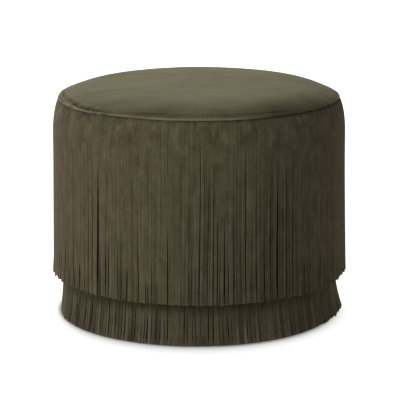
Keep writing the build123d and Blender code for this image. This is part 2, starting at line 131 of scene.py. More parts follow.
def bake_modifiers(piece, sharp=55.0):
    # Puts the modifiers' result in the mesh and marks its hard edges
    graph = bpy.context.evaluated_depsgraph_get()
    mesh = bpy.data.meshes.new_from_object(piece.evaluated_get(graph), preserve_all_data_layers=True,
                                           depsgraph=graph)
    piece.modifiers.clear()
    piece.data = mesh
    mesh.polygons.foreach_set("use_smooth", [True] * len(mesh.polygons))
    mesh.set_sharp_from_angle(angle=math.radians(sharp))
    return piece


def thicken(piece, thickness, offset=-1.0):
    solid = piece.modifiers.new("thickness", "SOLIDIFY")
    solid.thickness = thickness
    solid.offset = offset
    solid.use_even_offset = False
    return bake_modifiers(piece)


# Materials

class Nodes:
    # A material's node tree with short calls

    def __init__(self, name):
        self.material = bpy.data.materials.new(name)
        self.material.use_nodes = True
        self.tree = self.material.node_tree
        self.shader = self.tree.nodes["Principled BSDF"]
        self.out = self.tree.nodes["Material Output"]

    def add(self, kind, settings=None, **inputs):
        made = self.tree.nodes.new("ShaderNode" + kind)
        for key, value in (settings or {}).items():
            setattr(made, key, value)
        for key, value in inputs.items():
            self.feed(made.inputs[key.replace("_", " ")], value)
        return made

    def feed(self, socket, value):
        if isinstance(value, bpy.types.NodeSocket):
            self.tree.links.new(value, socket)
        else:
            socket.default_value = value

    def set(self, **inputs):
        for key, value in inputs.items():
            self.feed(self.shader.inputs[key.replace("_", " ")], value)

    def place(self):
        return self.add("TexCoord").outputs["Object"]

    def tone(self):
        return self.add("Attribute", {"attribute_name": "tone"}).outputs["Fac"]

    def noise(self, vector, scale, detail=3.0, rough=0.55, distortion=0.0):
        return self.add("TexNoise", Vector=vector, Scale=scale, Detail=detail, Roughness=rough,
                        Distortion=distortion).outputs["Fac"]

    def stretch(self, vector, scale, turn=(0.0, 0.0, 0.0)):
        return self.add("Mapping", Vector=vector, Scale=scale, Rotation=turn).outputs["Vector"]

    def math(self, operation, a, b=0.0, clamp=False):
        made = self.add("Math", {"operation": operation, "use_clamp": clamp})
        self.feed(made.inputs[0], a)
        self.feed(made.inputs[1], b)
        return made.outputs[0]

    def weigh(self, *parts):
        # The sum of values times their weights
        products = [self.math("MULTIPLY", value, weight) for value, weight in parts]
        total = products[0]
        for product in products[1:]:
            total = self.math("ADD", total, product)
        return total

    def slope(self, value, start, end):
        # A smooth step from one range to another
        made = self.add("MapRange", {"interpolation_type": "SMOOTHSTEP"}, Value=value)
        self.feed(made.inputs["From Min"], start[0])
        self.feed(made.inputs["From Max"], start[1])
        self.feed(made.inputs["To Min"], end[0])
        self.feed(made.inputs["To Max"], end[1])
        return made.outputs["Result"]

    def ramp(self, fac, stops):
        made = self.add("ValToRGB", Fac=fac)
        ends = made.color_ramp.elements
        while len(ends) < len(stops):
            ends.new(0.5)
        for end, (place, colour) in zip(ends, stops):
            end.position = place
            end.color = (*colour, 1.0)
        return made.outputs["Color"]

    def bump(self, height, strength, distance):
        return self.add("Bump", Height=height, Strength=strength, Distance=distance).outputs["Normal"]


def suede_top(name, dark, middle, light, sheen):
    # Suede with a cloudy, brushed texture, shaded by the tone attribute, which carries painted light and
    # shade
    m = Nodes(name)
    where = m.place()
    cloud = m.noise(where, 9.0, detail=4.0, rough=0.6, distortion=0.8)
    brushed = m.stretch(where, (10.0, 34.0, 34.0), turn=(0.0, 0.0, 0.25))
    brushed = m.noise(brushed, 1.0, detail=3.0, rough=0.6, distortion=0.6)
    fleck = m.noise(where, 240.0, detail=3.0, rough=0.7)
    fibre = m.noise(where, 1500.0, detail=2.0, rough=0.7)
    tone = m.math("ADD", m.weigh((cloud, 0.5), (brushed, 0.36), (fleck, 0.14)), m.tone())
    deep = tuple(0.55 * c for c in dark)
    m.set(Base_Color=m.ramp(tone, [(0.24, deep), (0.36, dark), (0.5, middle), (0.64, light)]),
          Roughness=0.92, Specular_IOR_Level=0.08, Sheen_Weight=sheen, Sheen_Roughness=0.8,
          Sheen_Tint=(0.80, 0.75, 0.49, 1.0),
          Normal=m.bump(m.weigh((fibre, 0.6), (fleck, 0.8)), 0.35, 0.0006))
    return m.material


def suede_strand():
    # Suede of the fringes: streaks along the strands with painted shade in thin crease lines, smudges on the
    # uncut heading
    m = Nodes("suede_strand")
    along = m.add("UVMap").outputs["UV"]
    where = m.place()
    axes = m.add("SeparateXYZ", Vector=where).outputs
    below = m.slope(axes["Z"], (0.43, 0.33), (0.75, 1.0))
    calm = m.slope(axes["X"], (-0.26, -0.08), (0.45, 1.0))
    streak = m.noise(m.stretch(along, (340.0, 3.0, 1.0)), 1.0, detail=1.5, rough=0.6)
    streak = m.math("MULTIPLY", m.math("SUBTRACT", streak, 0.5), 0.50)
    # The crease lines are painted shade in the colour; the bump gives them relief
    crease = m.noise(m.stretch(along, (150.0, 2.0, 1.0)), 1.0, detail=1.0, rough=0.5)
    crease = m.math("ABSOLUTE", m.math("SUBTRACT", crease, 0.5))
    crease = m.math("MULTIPLY", m.math("SUBTRACT", 0.03, crease, clamp=True), 5.0)
    lines = m.math("MULTIPLY", m.math("MULTIPLY", m.math("SUBTRACT", streak, crease), below), calm)
    patch = m.noise(m.stretch(along, (50.0, 26.0, 1.0)), 1.0, detail=5.0, rough=0.68, distortion=0.4)
    smudge = m.noise(m.stretch(along, (44.0, 30.0, 1.0)), 1.0, detail=3.0, rough=0.6, distortion=0.5)
    smudge = m.math("MULTIPLY", m.math("SUBTRACT", smudge, 0.5), m.math("SUBTRACT", 1.0, below))
    fleck = m.noise(where, 420.0, detail=3.0, rough=0.7)
    fibre = m.noise(m.stretch(along, (1800.0, 500.0, 1.0)), 1.0, detail=2.0, rough=0.7)
    shade = m.math("SUBTRACT", m.tone(), 0.5)
    value = m.weigh((patch, 0.55), (fleck, 0.45), (shade, 0.42), (lines, 1.0), (smudge, 2.6))
    dark, middle, light = (0.074, 0.061, 0.033), (0.146, 0.123, 0.071), (0.226, 0.195, 0.121)
    m.set(Base_Color=m.ramp(value, [(0.26, dark), (0.5, middle), (0.74, light)]),
          Roughness=0.93, Specular_IOR_Level=0.14, Sheen_Weight=0.15, Sheen_Roughness=0.5,
          Sheen_Tint=(0.80, 0.72, 0.48, 1.0),
          Normal=m.bump(m.weigh((fibre, 0.5), (lines, 1.6)), 0.45, 0.0007))
    return m.material


def cloth(name, dark, light, thread, rough=0.9, strength=0.5):
    # Plain weave, with the number of threads set by its scale
    m = Nodes(name)
    where = m.place()
    warp, weft = (m.add("TexWave", {"wave_type": "BANDS", "bands_direction": axis}, Vector=where,
                        Scale=thread, Distortion=0.6, Detail=2.0, Detail_Scale=3.0).outputs["Fac"]
                  for axis in "ZX")
    weave = m.math("MULTIPLY", warp, weft)
    patch = m.noise(where, 14.0, detail=4.0, rough=0.6)
    value = m.weigh((weave, 0.5), (patch, 0.5))
    m.set(Base_Color=m.ramp(value, [(0.2, dark), (0.75, light)]), Roughness=rough, Specular_IOR_Level=0.2,
          Sheen_Weight=0.1, Normal=m.bump(weave, strength, 0.0004))
    return m.material


def fill(name, dark, light, cell):
    # Foam, wadding and fibre board
    m = Nodes(name)
    where = m.place()
    pores = m.add("TexVoronoi", Vector=where, Scale=cell).outputs["Distance"]
    fuzz = m.noise(where, cell * 0.4, detail=4.0, rough=0.7)
    value = m.weigh((pores, 0.5), (fuzz, 0.5))
    m.set(Base_Color=m.ramp(value, [(0.2, dark), (0.7, light)]), Roughness=0.95, Specular_IOR_Level=0.2,
          Normal=m.bump(value, 0.5, 0.0008))
    return m.material


def timber(name, dark, light, stretch):
    m = Nodes(name)
    where = m.place()
    grain = m.noise(m.stretch(where, stretch), 1.0, detail=5.0, rough=0.6, distortion=1.2)
    pore = m.noise(m.stretch(where, tuple(6.0 * s for s in stretch)), 1.0, detail=3.0, rough=0.7)
    value = m.weigh((grain, 0.7), (pore, 0.3))
    m.set(Base_Color=m.ramp(value, [(0.3, dark), (0.7, light)]), Roughness=0.7, Specular_IOR_Level=0.3,
          Normal=m.bump(pore, 0.25, 0.0005))
    return m.material


def zinc(name, dark, light):
    m = Nodes(name)
    haze = m.noise(m.place(), 160.0, detail=4.0, rough=0.6)
    m.set(Base_Color=m.ramp(haze, [(0.3, dark), (0.7, light)]), Metallic=1.0,
          Roughness=m.math("ADD", m.math("MULTIPLY", haze, 0.25), 0.25), Normal=m.bump(haze, 0.1, 0.0003))
    return m.material


def nylon(name, dark, light):
    m = Nodes(name)
    where = m.place()
    grain = m.noise(where, 900.0, detail=3.0, rough=0.6)
    scuff = m.noise(where, 90.0, detail=4.0, rough=0.65, distortion=0.5)
    m.set(Base_Color=m.ramp(scuff, [(0.35, dark), (0.75, light)]),
          Roughness=m.math("ADD", m.math("MULTIPLY", scuff, 0.3), 0.35), Normal=m.bump(grain, 0.2, 0.0003))
    return m.material


PLY_GRAIN = (6.0, 60.0, 400.0)
POST_GRAIN = (120.0, 120.0, 5.0)
TOP_SUEDE = suede_top("suede_top", (0.070, 0.059, 0.027), (0.101, 0.086, 0.042), (0.146, 0.126, 0.066),
                      sheen=0.22)
# The seam roll's suede is a lighter copy of the top's: a painted highlight
ROLL_SUEDE_PAINTED_HIGHLIGHT = suede_top("suede_roll_painted_highlight", (0.135, 0.116, 0.068), (0.195, 0.168, 0.102), (0.27, 0.235, 0.146),
                       sheen=0.10)
STRAND_SUEDE = suede_strand()
LINING = cloth("dark_lining", (0.013, 0.014, 0.010), (0.032, 0.033, 0.024), thread=900.0)
DUST = cloth("dust_cloth", (0.008, 0.008, 0.009), (0.024, 0.024, 0.026), thread=700.0,
             rough=0.85, strength=0.7)
CORD = cloth("welt_cord", (0.45, 0.41, 0.32), (0.62, 0.58, 0.48), thread=500.0)
FOAM = fill("seat_foam", (0.55, 0.48, 0.30), (0.78, 0.71, 0.50), cell=900.0)
WADDING = fill("polyester_wadding", (0.66, 0.66, 0.63), (0.86, 0.86, 0.84), cell=260.0)
# Dark fibre strip: painted shade where it shows through the lower fringe's slits
STRIP = fill("fibre_strip", (0.020, 0.017, 0.013), (0.040, 0.034, 0.026), cell=1200.0)
# A dark copy of the plywood: painted shade for the wall seen through the fringe's slits
PLY_PAINTED_SHADE = timber("ply_painted_shade", (0.018, 0.015, 0.011), (0.034, 0.028, 0.020), PLY_GRAIN)
PLYWOOD = timber("plywood", (0.36, 0.24, 0.13), (0.58, 0.42, 0.25), PLY_GRAIN)
SOFTWOOD = timber("softwood", (0.46, 0.31, 0.16), (0.68, 0.51, 0.30), POST_GRAIN)
STEEL = zinc("zinc_steel", (0.42, 0.41, 0.39), (0.66, 0.65, 0.62))
# A darkened copy of the zinc steel: painted shade for staples seen through the fringe
DARK_STEEL = zinc("dark_staple", (0.030, 0.029, 0.027), (0.070, 0.068, 0.064))
NYLON = nylon("black_nylon", (0.020, 0.019, 0.018), (0.050, 0.048, 0.045))

NODE_MATERIALS = {
    "base_panel": PLYWOOD, "seat_deck": PLYWOOD, "wall_panel": PLY_PAINTED_SHADE, "side_padding": FOAM,
    "seat_foam": FOAM, "seat_wadding": WADDING, "side_lining": LINING, "top_cover": TOP_SUEDE,
    "edge_welt": ROLL_SUEDE_PAINTED_HIGHLIGHT, "welt_cord": CORD, "tack_strip": STRIP, "dust_cover": DUST,
}


def material_of(node):
    if node.startswith("frame_post"):
        return SOFTWOOD
    # Staples behind the fringe take the steel with painted shade
    if node in ("tack_strip_staples", "wall_staples"):
        return DARK_STEEL
    if "screws" in node or "staples" in node:
        return STEEL
    if node.startswith("glide"):
        return NYLON
    if "fringe" in node:
        return STRAND_SUEDE
    return NODE_MATERIALS[node]


for node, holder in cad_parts.items():
    holder.data.materials.clear()
    holder.data.materials.append(material_of(node))


# The seam's slack and fall, which the fringe, the top and the roll share

SLACK_SPAN = (-100, -84, -54, -32)
SLACK_DIP = 0.0012
FALL_SPAN = (60, 90, 100, 140)


def left_slack(phi):
    # The seam is slack on the photographed left
    return band(front_angle(phi), SLACK_SPAN)


def seam_fall(phi):
    # How far the seam lies below its front height at the two sides
    return SEAM_LIFT * band(abs(front_angle(phi)), FALL_SPAN)


def slack_dip(phi):
    return SLACK_DIP * left_slack(phi) * (1 + 0.8 * round_wave(18, phi, 9.0))


# How the two fringes hang

HEADING_FOOT = 0.36
SHOULDER_BEND, HEM_BEND = 3.4, 1.3
LOWER_FLARE, LOWER_LEAN = 0.0105, 0.0050
LEFT_FLARE, LEFT_FLARE_SPAN = 0.0035, (-75, -60, -42, -28)
# Tucks where the heading was eased into the slack seam: azimuth, half width, depth, length and lean
GATHER_RANGES = [(-84, -36), (0.8, 2.0), (0.0018, 0.0042), (0.012, 0.036), (-90, 90)]
GATHER_COUNT, GATHER_REACH = 22, 12
SEAM_RECESS, RECESS_START, RECESS_END = 0.0026, 0.0075, 0.0030
DEEPEST_TUCK = 0.0044


def upper_radius(z, phi):
    if z >= SHOULDER_Z:
        rise = min((z - SHOULDER_Z) / (HEADING_TOP - SHOULDER_Z), 1.0)
        return SHOULDER_R - (SHOULDER_R - HEADING_R) * rise**SHOULDER_BEND
    fall = (SHOULDER_Z - z) / (SHOULDER_Z - UPPER_HEM_Z)
    return SHOULDER_R + (UPPER_HEM_R - SHOULDER_R) * fall**HEM_BEND


def lower_radius(z, phi):
    fall = max((LOWER_SLIT_Z - z) / (LOWER_SLIT_Z - LOWER_HEM_Z), 0.0)
    flare = LOWER_FLARE + LOWER_LEAN * math.cos(phi) + LEFT_FLARE * band(front_angle(phi), LEFT_FLARE_SPAN)
    return LOWER_HEAD_R + flare * fall**2


def seam_gathers():
    rng = random.Random(31)
    return [tuple(rng.uniform(low, high) for low, high in GATHER_RANGES) for _ in range(GATHER_COUNT)]


SEAM_GATHERS = seam_gathers()


def gather_depth(z, phi):
    az, drop = front_angle(phi), HEADING_TOP - z
    return sum(depth * math.exp(-((az - place - lean * drop) / width) ** 2)
               * smooth(z, HEADING_TOP - length, HEADING_TOP - 0.2 * length)
               for place, width, depth, length, lean in SEAM_GATHERS if abs(az - place) < GATHER_REACH)


def upper_drape(z, phi):
    # Puckers under the seam and slow waves lower down, as radius and arc shifts
    near = smooth(z, HEADING_FOOT, HEADING_TOP)
    low = smooth(-z, -HEADING_FOOT, -UPPER_HEM_Z)
    pucker = round_wave(1, phi, 26.0, z * 6.0) * 0.0003 + round_wave(2, phi, 75.0, z * 5.0) * 0.0004
    recess = SEAM_RECESS * smooth(z, HEADING_TOP - RECESS_START, HEADING_TOP - RECESS_END)
    inward = gather_depth(z, phi) + recess
    inward = DEEPEST_TUCK * (1 - math.exp(-inward / DEEPEST_TUCK))
    out = pucker * (0.35 + 0.65 * near) - inward + low * round_wave(4, phi, 4.0, z * 2.0) * 0.0022
    along = low * (round_wave(5, phi, 5.0, z * 4.0) * 0.0030 + round_wave(6, phi, 14.0, z * 8.0) * 0.0012)
    return out, along


def lower_drape(z, phi):
    low = smooth(-z, -LOWER_SLIT_Z, -LOWER_HEM_Z)
    out = low * (round_wave(7, phi, 6.0) * 0.0030 + round_wave(8, phi, 18.0) * 0.0014)
    along = low * (round_wave(9, phi, 7.0) * 0.0040 + round_wave(10, phi, 20.0) * 0.0016)
    return out, along


# Slits between the strands

# Those that stand open in the photo: azimuth, height where they open, width seen in millimetres
LONG_SLITS = [
    (-67, 0.15, 0.6), (-62.5, 0.17, 1.2), (-59, 0.13, 2.6), (-55, 0.13, 1.5), (-52, 0.14, 3.0),
    (-47.5, 0.13, 1.2), (-41, 0.345, 3.2), (-40, 0.20, 1.7), (-38, 0.21, 1.0), (-35.5, 0.20, 2.0),
    (-31.5, 0.21, 1.4), (-30, 0.235, 2.0), (-27.5, 0.15, 2.2), (-23, 0.23, 1.1), (-20, 0.135, 1.5),
    (-19, 0.125, 1.2), (-17.5, 0.17, 1.5), (-11.5, 0.235, 2.0), (-6.5, 0.14, 1.4), (-3.5, 0.16, 1.4),
    (-1, 0.17, 1.4), (0.5, 0.385, 1.6), (2, 0.375, 1.0), (3.5, 0.355, 1.4), (5.5, 0.37, 2.0),
    (7, 0.285, 1.4), (8, 0.215, 1.1), (9.5, 0.255, 1.8), (11, 0.17, 1.6), (13, 0.265, 2.1),
    (14, 0.375, 1.0), (17.5, 0.395, 1.8), (19.5, 0.155, 1.1), (21.5, 0.375, 1.5), (25, 0.245, 2.4),
    (27.5, 0.375, 1.6), (28.5, 0.37, 0.6), (30.5, 0.38, 1.4), (34.5, 0.375, 1.4), (37.5, 0.395, 1.2),
]
WIDEST_GAP = 0.0055
SNAP_ANGLE = 0.02
CUT_FADE = 0.03
JOINT_GAP = 0.00025


def true_gap(azimuth, seen):
    # The gap that looks as wide from the front, past the strand's own thickness
    turn = math.radians(abs(azimuth))
    return min((0.001 * seen + 0.8 * SUEDE * math.sin(turn)) / math.cos(turn), WIDEST_GAP)


def place_long_slits(edges, slits):
    # Moves the nearest edges between strands to the long slits: edge number, opening height and gap
    placed = {}
    for azimuth, opening, seen in slits:
        phi = edges[0] + (math.radians(270 + azimuth) - edges[0]) % (2 * math.pi)
        near = min(range(1, len(edges) - 1), key=lambda i: abs(edges[i] - phi) + (i in placed))
        if abs(edges[near] - phi) < SNAP_ANGLE:
            edges[near] = phi
            placed[near] = (opening, true_gap(azimuth, seen))
    return placed


def slit_shape(phi, style, rng, long):
    # Where a cut starts, where it opens, how far each side draws back, and how far it closes at the hem
    free = style["free"](phi)
    cut, opening = style["cut"](free, phi, rng)
    pick = rng.random()
    loose = rng.random() < free
    low, high = next(span for share, span in style["gaps"][loose] if pick <= share)
    width = rng.uniform(low, high) * (1 - 0.65 * side_tight(phi))
    lead = rng.uniform(0.3, 0.7)
    close = rng.uniform(0.0, 0.75)
    if long:
        opening, width = long
        close = 0.1
    return {"cut": cut, "open": min(opening, cut), "sides": (width * lead, width * (1 - lead)),
            "hair": rng.uniform(*style["hair"]), "close": close}


def slit_state(slit, z, z_end, taper):
    # How far a slit is cut and opened at a level, and its share of the full gap
    cut = min(max((slit["cut"] - z) / CUT_FADE, 0.0), 1.0)
    opened = min(max((slit["open"] - z) / (slit["open"] - z_end), 0.0), 1.0)
    gape = opened**taper * (1 - slit["close"] * opened**3)
    return cut, opened, gape


# What differs round the fringes

RIGHT_TIGHT, LEFT_TIGHT = (52, 68, 100, 115), (62, 70, 100, 115)
RAGGED_SPAN = (60, 70, 110, 120)
UPPER_OPEN_FRONT, UPPER_OPEN_LEFT = (-12, 2, 32, 44), (-88, -74, -52, -38)
LOWER_OPEN_FRONT = (-78, -62, 10, 26)
BACK_FROM, BACK_FULL = 95, 125
SHORT_CUTS = (20, 36, 95, 110)
EVEN_TONES = (-110, -90, -45, -20)
CURL_SPAN = (-110, -80, -70, -45)
CREASE_START, CREASE_END = 0.0060, 0.0030
HOLLOW_START, HOLLOW_END = 0.030, 0.006
COVERED_FROM, COVERED_FULL = 0.052, 0.086


def side_tight(phi):
    # The strands hang close together at the two sides
    az = front_angle(phi)
    return band(az, RIGHT_TIGHT) + 0.85 * band(-az, LEFT_TIGHT)


def ragged(phi):
    # The hem is least even at the sides
    return band(abs(front_angle(phi)), RAGGED_SPAN)


def back_free(seed, phi):
    return smooth(abs(front_angle(phi)), BACK_FROM, BACK_FULL) * (0.5 + 0.9 * round_wave(seed, phi, 2.2))


def upper_free(phi):
    # Share of the slits that stand open: most a little right of the photographed front
    az = front_angle(phi)
    free = 0.16 + 0.8 * band(az, UPPER_OPEN_FRONT) + 0.5 * band(az, UPPER_OPEN_LEFT) + back_free(22, phi)
    return min(max(free, 0.06), 0.95)


def lower_free(phi):
    free = 0.25 + 0.6 * band(front_angle(phi), LOWER_OPEN_FRONT) + back_free(23, phi)
    return min(max(free, 0.1), 0.95)


def upper_cut(free, phi, rng):
    # Heights where a cut starts and where it opens. Few open high up on the left
    cut = rng.uniform(0.385, 0.425)
    left = band(-front_angle(phi), SHORT_CUTS)
    if rng.random() < 0.05 + 0.62 * free * (1 - 0.75 * left):
        return cut, rng.uniform(0.31, 0.385)
    return cut, rng.uniform(0.115, 0.19 + 0.13 * free * (1 - 0.7 * left))


def lower_cut(free, phi, rng):
    return LOWER_SLIT_Z + rng.uniform(-0.006, 0.004), rng.uniform(0.055, 0.092)


def seam_shade(z, phi):
    # Painted shade in the crease under the seam roll and in the hollows of the slack heading on the left
    hollow = left_slack(phi) * max(round_wave(25, phi, 24.0, z * 45.0), 0.0)
    hollow *= smooth(z, HEADING_TOP - HOLLOW_START, HEADING_TOP - HOLLOW_END)
    return 1.4 * hollow + 0.45 * smooth(z, HEADING_TOP - CREASE_START, HEADING_TOP - CREASE_END)


def hem_shade(z, phi):
    # Painted shadow on the lower fringe where the upper one covers it, and painted shade that makes it
    # darker on the left and lighter to the right
    az = front_angle(phi)
    covered = (0.80 - 0.50 * smooth(az, -40, 30)) * smooth(z, COVERED_FROM, COVERED_FULL)
    return covered + 0.16 * (1 - smooth(az, -55, -20)) - 0.16 * smooth(az, 15, 45)


def upper_spread(phi):
    # The strands' tones differ least on the left
    return 0.16 - 0.08 * band(front_angle(phi), EVEN_TONES)


def left_curl(phi):
    return 0.0003 + 0.0009 * band(front_angle(phi), CURL_SPAN)


def right_lift(phi):
    # The lower hem hangs a little short from the middle to the right
    az = front_angle(phi)
    return (0.0020 * smooth(az, -20, 4) + 0.0032 * smooth(az, 18, 66)) * (1 - smooth(az, 95, 130))


def nowhere(phi):
    return 0.0


# Gaps are in three lots, each with the share of slits up to it, for slits that hang shut or stand open
UPPER_STYLE = {
    "strands": UPPER_STRANDS, "radius": upper_radius, "drape": upper_drape, "long": LONG_SLITS,
    "levels": steps(HEADING_TOP, HEADING_FOOT, 13) + steps(HEADING_FOOT, UPPER_HEM_Z, 34)[1:-1]
    + [UPPER_HEM_Z + 0.0014, UPPER_HEM_Z],
    "free": upper_free, "cut": upper_cut, "hair": (0.00005, 0.00018), "taper": 0.45,
    "gaps": {False: [(0.60, (0.0001, 0.0003)), (0.90, (0.0004, 0.0008)), (1.0, (0.0010, 0.0016))],
             True: [(0.6, (0.0004, 0.0008)), (0.95, (0.0008, 0.0013)), (1.0, (0.0013, 0.0018))]},
    "uneven": 0.22, "trim": 0.0004, "step": 0.0009, "lift": nowhere, "fall": seam_fall,
    "stand": 0.0006, "twist": 0.07, "bow": 0.0004, "camber": 0.0005,
    "curl": left_curl, "curl_spread": 0.0005, "curl_length": 0.04,
    "shade": seam_shade, "spread": upper_spread, "painted_tip_highlight": 1.3,
}
LOWER_STYLE = {
    "strands": LOWER_STRANDS, "radius": lower_radius, "drape": lower_drape, "long": [],
    "levels": steps(LOWER_TOP_Z, LOWER_SLIT_Z, 4) + steps(LOWER_SLIT_Z, LOWER_HEM_Z, 15)[1:],
    "free": lower_free, "cut": lower_cut, "hair": (0.00005, 0.00015), "taper": 0.45,
    "gaps": {False: [(0.60, (0.0001, 0.0004)), (0.90, (0.0005, 0.0009)), (1.0, (0.0010, 0.0016))],
             True: [(0.30, (0.0004, 0.0010)), (0.65, (0.0010, 0.0020)), (1.0, (0.0020, 0.0034))]},
    "uneven": 0.25, "trim": 0.0003, "step": 0.0004, "lift": right_lift, "fall": nowhere,
    "stand": 0.0007, "twist": 0.08, "bow": 0.0004, "camber": 0.0004,
    "curl": nowhere, "curl_spread": 0.0004, "curl_length": 0.03,
    "shade": hem_shade, "spread": lambda phi: 0.30, "painted_tip_highlight": 0.3,
}


# Fringe panels

ACROSS = 3  # Faces across one strand
SKIN_R = 0.3  # Turns an angle into a length along the skin
FALL_FROM = 0.39
LOWEST = 0.0016  # Strand tips stay clear of the floor


def strand_edges(start, style, rng):
    # Angles of the edges between strands of uneven width
    cells = [1.0 + style["uneven"] * rng.uniform(-1, 1) for _ in range(style["strands"])]
    edges = [0.0]
    for cell in cells:
        edges.append(edges[-1] + cell / sum(cells) * math.radians(360.0 / PANELS))
    return [math.radians(start) + edge for edge in edges]


def strand_nature(phi, style, rng):
    # What sets a strand apart from its neighbours
    calm = 1 - 0.75 * side_tight(phi)
    trim = rng.gauss(0, style["trim"] * (1 + 3 * ragged(phi))) + style["lift"](phi)
    return {
        "trim": trim + style["step"] * round(1.4 * round_wave(20, phi, 30.0)),
        "stand": rng.gauss(0, style["stand"]) * calm,
        "twist": rng.gauss(0, style["twist"]) * calm,
        "lean": rng.uniform(-1, 1),
        "bow": rng.gauss(0, style["bow"]) * calm,
        "curl": rng.gauss(style["curl"](phi), style["curl_spread"] * calm),
        "tone": min(max(rng.gauss(0.5, style["spread"](phi)), 0.0), 1.0),
        "painted_tip_highlight": style["painted_tip_highlight"] * rng.random() ** 2,
    }


def strand_row(z, phis, slits, nature, style):
    # The points across a strand at one level: joined to its neighbour or not, place, place on the skin, tone
    radius, z_head, z_end = style["radius"], style["levels"][0], style["levels"][-1]
    (phi_l, phi_r), (slit_l, slit_r) = phis, slits
    cut_l, open_l, gape_l = slit_state(slit_l, z, z_end, style["taper"])
    cut_r, open_r, gape_r = slit_state(slit_r, z, z_end, style["taper"])
    r0 = radius(z, 0.5 * (phi_l + phi_r))
    inset_l = (slit_l["hair"] * cut_l + slit_l["sides"][1] * gape_l) / r0
    inset_r = (slit_r["hair"] * cut_r + slit_r["sides"][0] * gape_r) / r0
    lean = nature["lean"] * min(inset_l, inset_r) * 0.8
    width = r0 * (phi_r - phi_l)
    tail = smooth(-z, -(z_end + style["curl_length"]), -z_end) ** 2
    for col in range(ACROSS + 1):
        f = col / ACROSS
        joined = (col == 0 and cut_l == 0) or (col == ACROSS and cut_r == 0)
        cut = cut_l + (cut_r - cut_l) * f
        opened = open_l + (open_r - open_l) * f
        loose = 0.25 * cut + 0.75 * opened
        phi = phi_l + inset_l + (phi_r - inset_r - phi_l - inset_l) * f
        z_here = z + nature["trim"] * opened**3 - style["fall"](phi) * smooth(z, FALL_FROM, z_head)
        out, along = style["drape"](z_here, phi)
        r = radius(z_here, phi) + out
        r += nature["stand"] * loose + nature["twist"] * width * (f - 0.5) * loose
        r += nature["bow"] * math.sin(math.pi * opened) + nature["curl"] * tail * opened
        r -= style["camber"] * (2 * f - 1) ** 2 * 0.5 * (cut + opened)
        place = on_circle(r, phi + along / r0 + lean * cut, max(z_here, LOWEST))
        tone = 0.5 + (nature["tone"] - 0.5) * loose - style["shade"](z_here, phi)
        # A painted highlight along the cut tips of some strands
        tone += nature["painted_tip_highlight"] * (z == z_end)
        yield joined, place, (phi * SKIN_R, z_here), tone


def fringe(name, start, style, seed):
    # One panel of fringe: a sheet whose columns part below their slits
    rng = random.Random(seed)
    levels = style["levels"]
    edges = strand_edges(start, style, rng)
    long = place_long_slits(edges, style["long"])
    slits = [slit_shape(edge, style, rng, long.get(i)) for i, edge in enumerate(edges)]
    for joint in (slits[0], slits[-1]):
        joint.update(cut=levels[0] + 0.001, open=0.8 * levels[0], sides=(JOINT_GAP, JOINT_GAP), close=0.0)
    verts, uvs, tones, faces = [], [], [], []
    shared = {}
    for strand in range(style["strands"]):
        phis, sides = edges[strand:strand + 2], slits[strand:strand + 2]
        nature = strand_nature(0.5 * (phis[0] + phis[1]), style, rng)
        grid = []
        for row, z in enumerate(levels):
            line = []
            for col, (joined, place, skin, tone) in enumerate(strand_row(z, phis, sides, nature, style)):
                key = (strand + (col == ACROSS), row)
                if not joined or key not in shared:
                    verts.append(place)
                    uvs.append(skin)
                    tones.append(tone)
                if joined:
                    line.append(shared.setdefault(key, len(verts) - 1))
                else:
                    line.append(len(verts) - 1)
            grid.append(line)
        for upper, lower in zip(grid, grid[1:]):
            for col in range(ACROSS):
                faces.append((upper[col], lower[col], lower[col + 1], upper[col + 1]))
    return new_object(name, verts, faces, STRAND_SUEDE, uvs, tones)


for k in range(PANELS):
    turn = 360.0 / PANELS * k
    panel = fringe(f"upper_fringe_panel_{k + 1}", UPPER_JOINT + turn, UPPER_STYLE, 100 + k)
    thicken(panel, SUEDE)
    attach(panel, "root")
    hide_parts(f"upper_fringe_{k + 1}")
    panel = fringe(f"lower_fringe_panel_{k + 1}", LOWER_JOINT + turn, LOWER_STYLE, 200 + k)
    thicken(panel, SUEDE)
    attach(panel, "root")
    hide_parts(f"lower_fringe_{k + 1}")


# Seat top

SEAT_RINGS, SEAT_SPOKES, RING_CROWDING = 32, 220, 1.7
CROWN_SPAN = (-52, -22, 60, 84)
SEAT_SWELL, SWELL_RING = 0.0005, (0.21, 0.25, 0.262, SEAM_R)
SEWN_WIDTH = 0.0012
SIM_FRAMES, SIM_QUALITY = 20, 6
SEAT_SLACK, SEAT_PRESSURE, SEAT_REACH = 0.012, 4.0, 0.003
# Span of the painted shade along the right front edge of the seat top
DARK_EDGE = (12, 40, 78, 98)
FRONT_GROOVE_SPAN = (-36, -20, 26, 44)
GROOVE_INSET, LEFT_INSET, FRONT_INSET = 0.0015, 0.0080, 0.0055
GROOVE_WIDTH, LEFT_GROOVE, FRONT_GROOVE = 0.0018, 0.0052, 0.0024
FOLD_HEIGHT, FOLD_INSET, FOLD_WIDTH = 0.0010, 0.0060, 0.0040
STITCHES, STITCH_PUCKER = 210, 0.0008
SEAT_UNEVEN = 0.0016


def crown(r, phi=math.pi / 2):
    # Height of the seat surface: a shallow dome that rolls over into the seam, fuller at the front and right
    full = band(front_angle(phi), CROWN_SPAN)
    share = min(r / SEAM_R, 1.0)
    seam = SEAM_Z - seam_fall(phi)
    return seam + (TOP_Z - seam) * (1 - share ** (4.8 + 3.2 * full)) ** (0.88 + 0.07 * full)


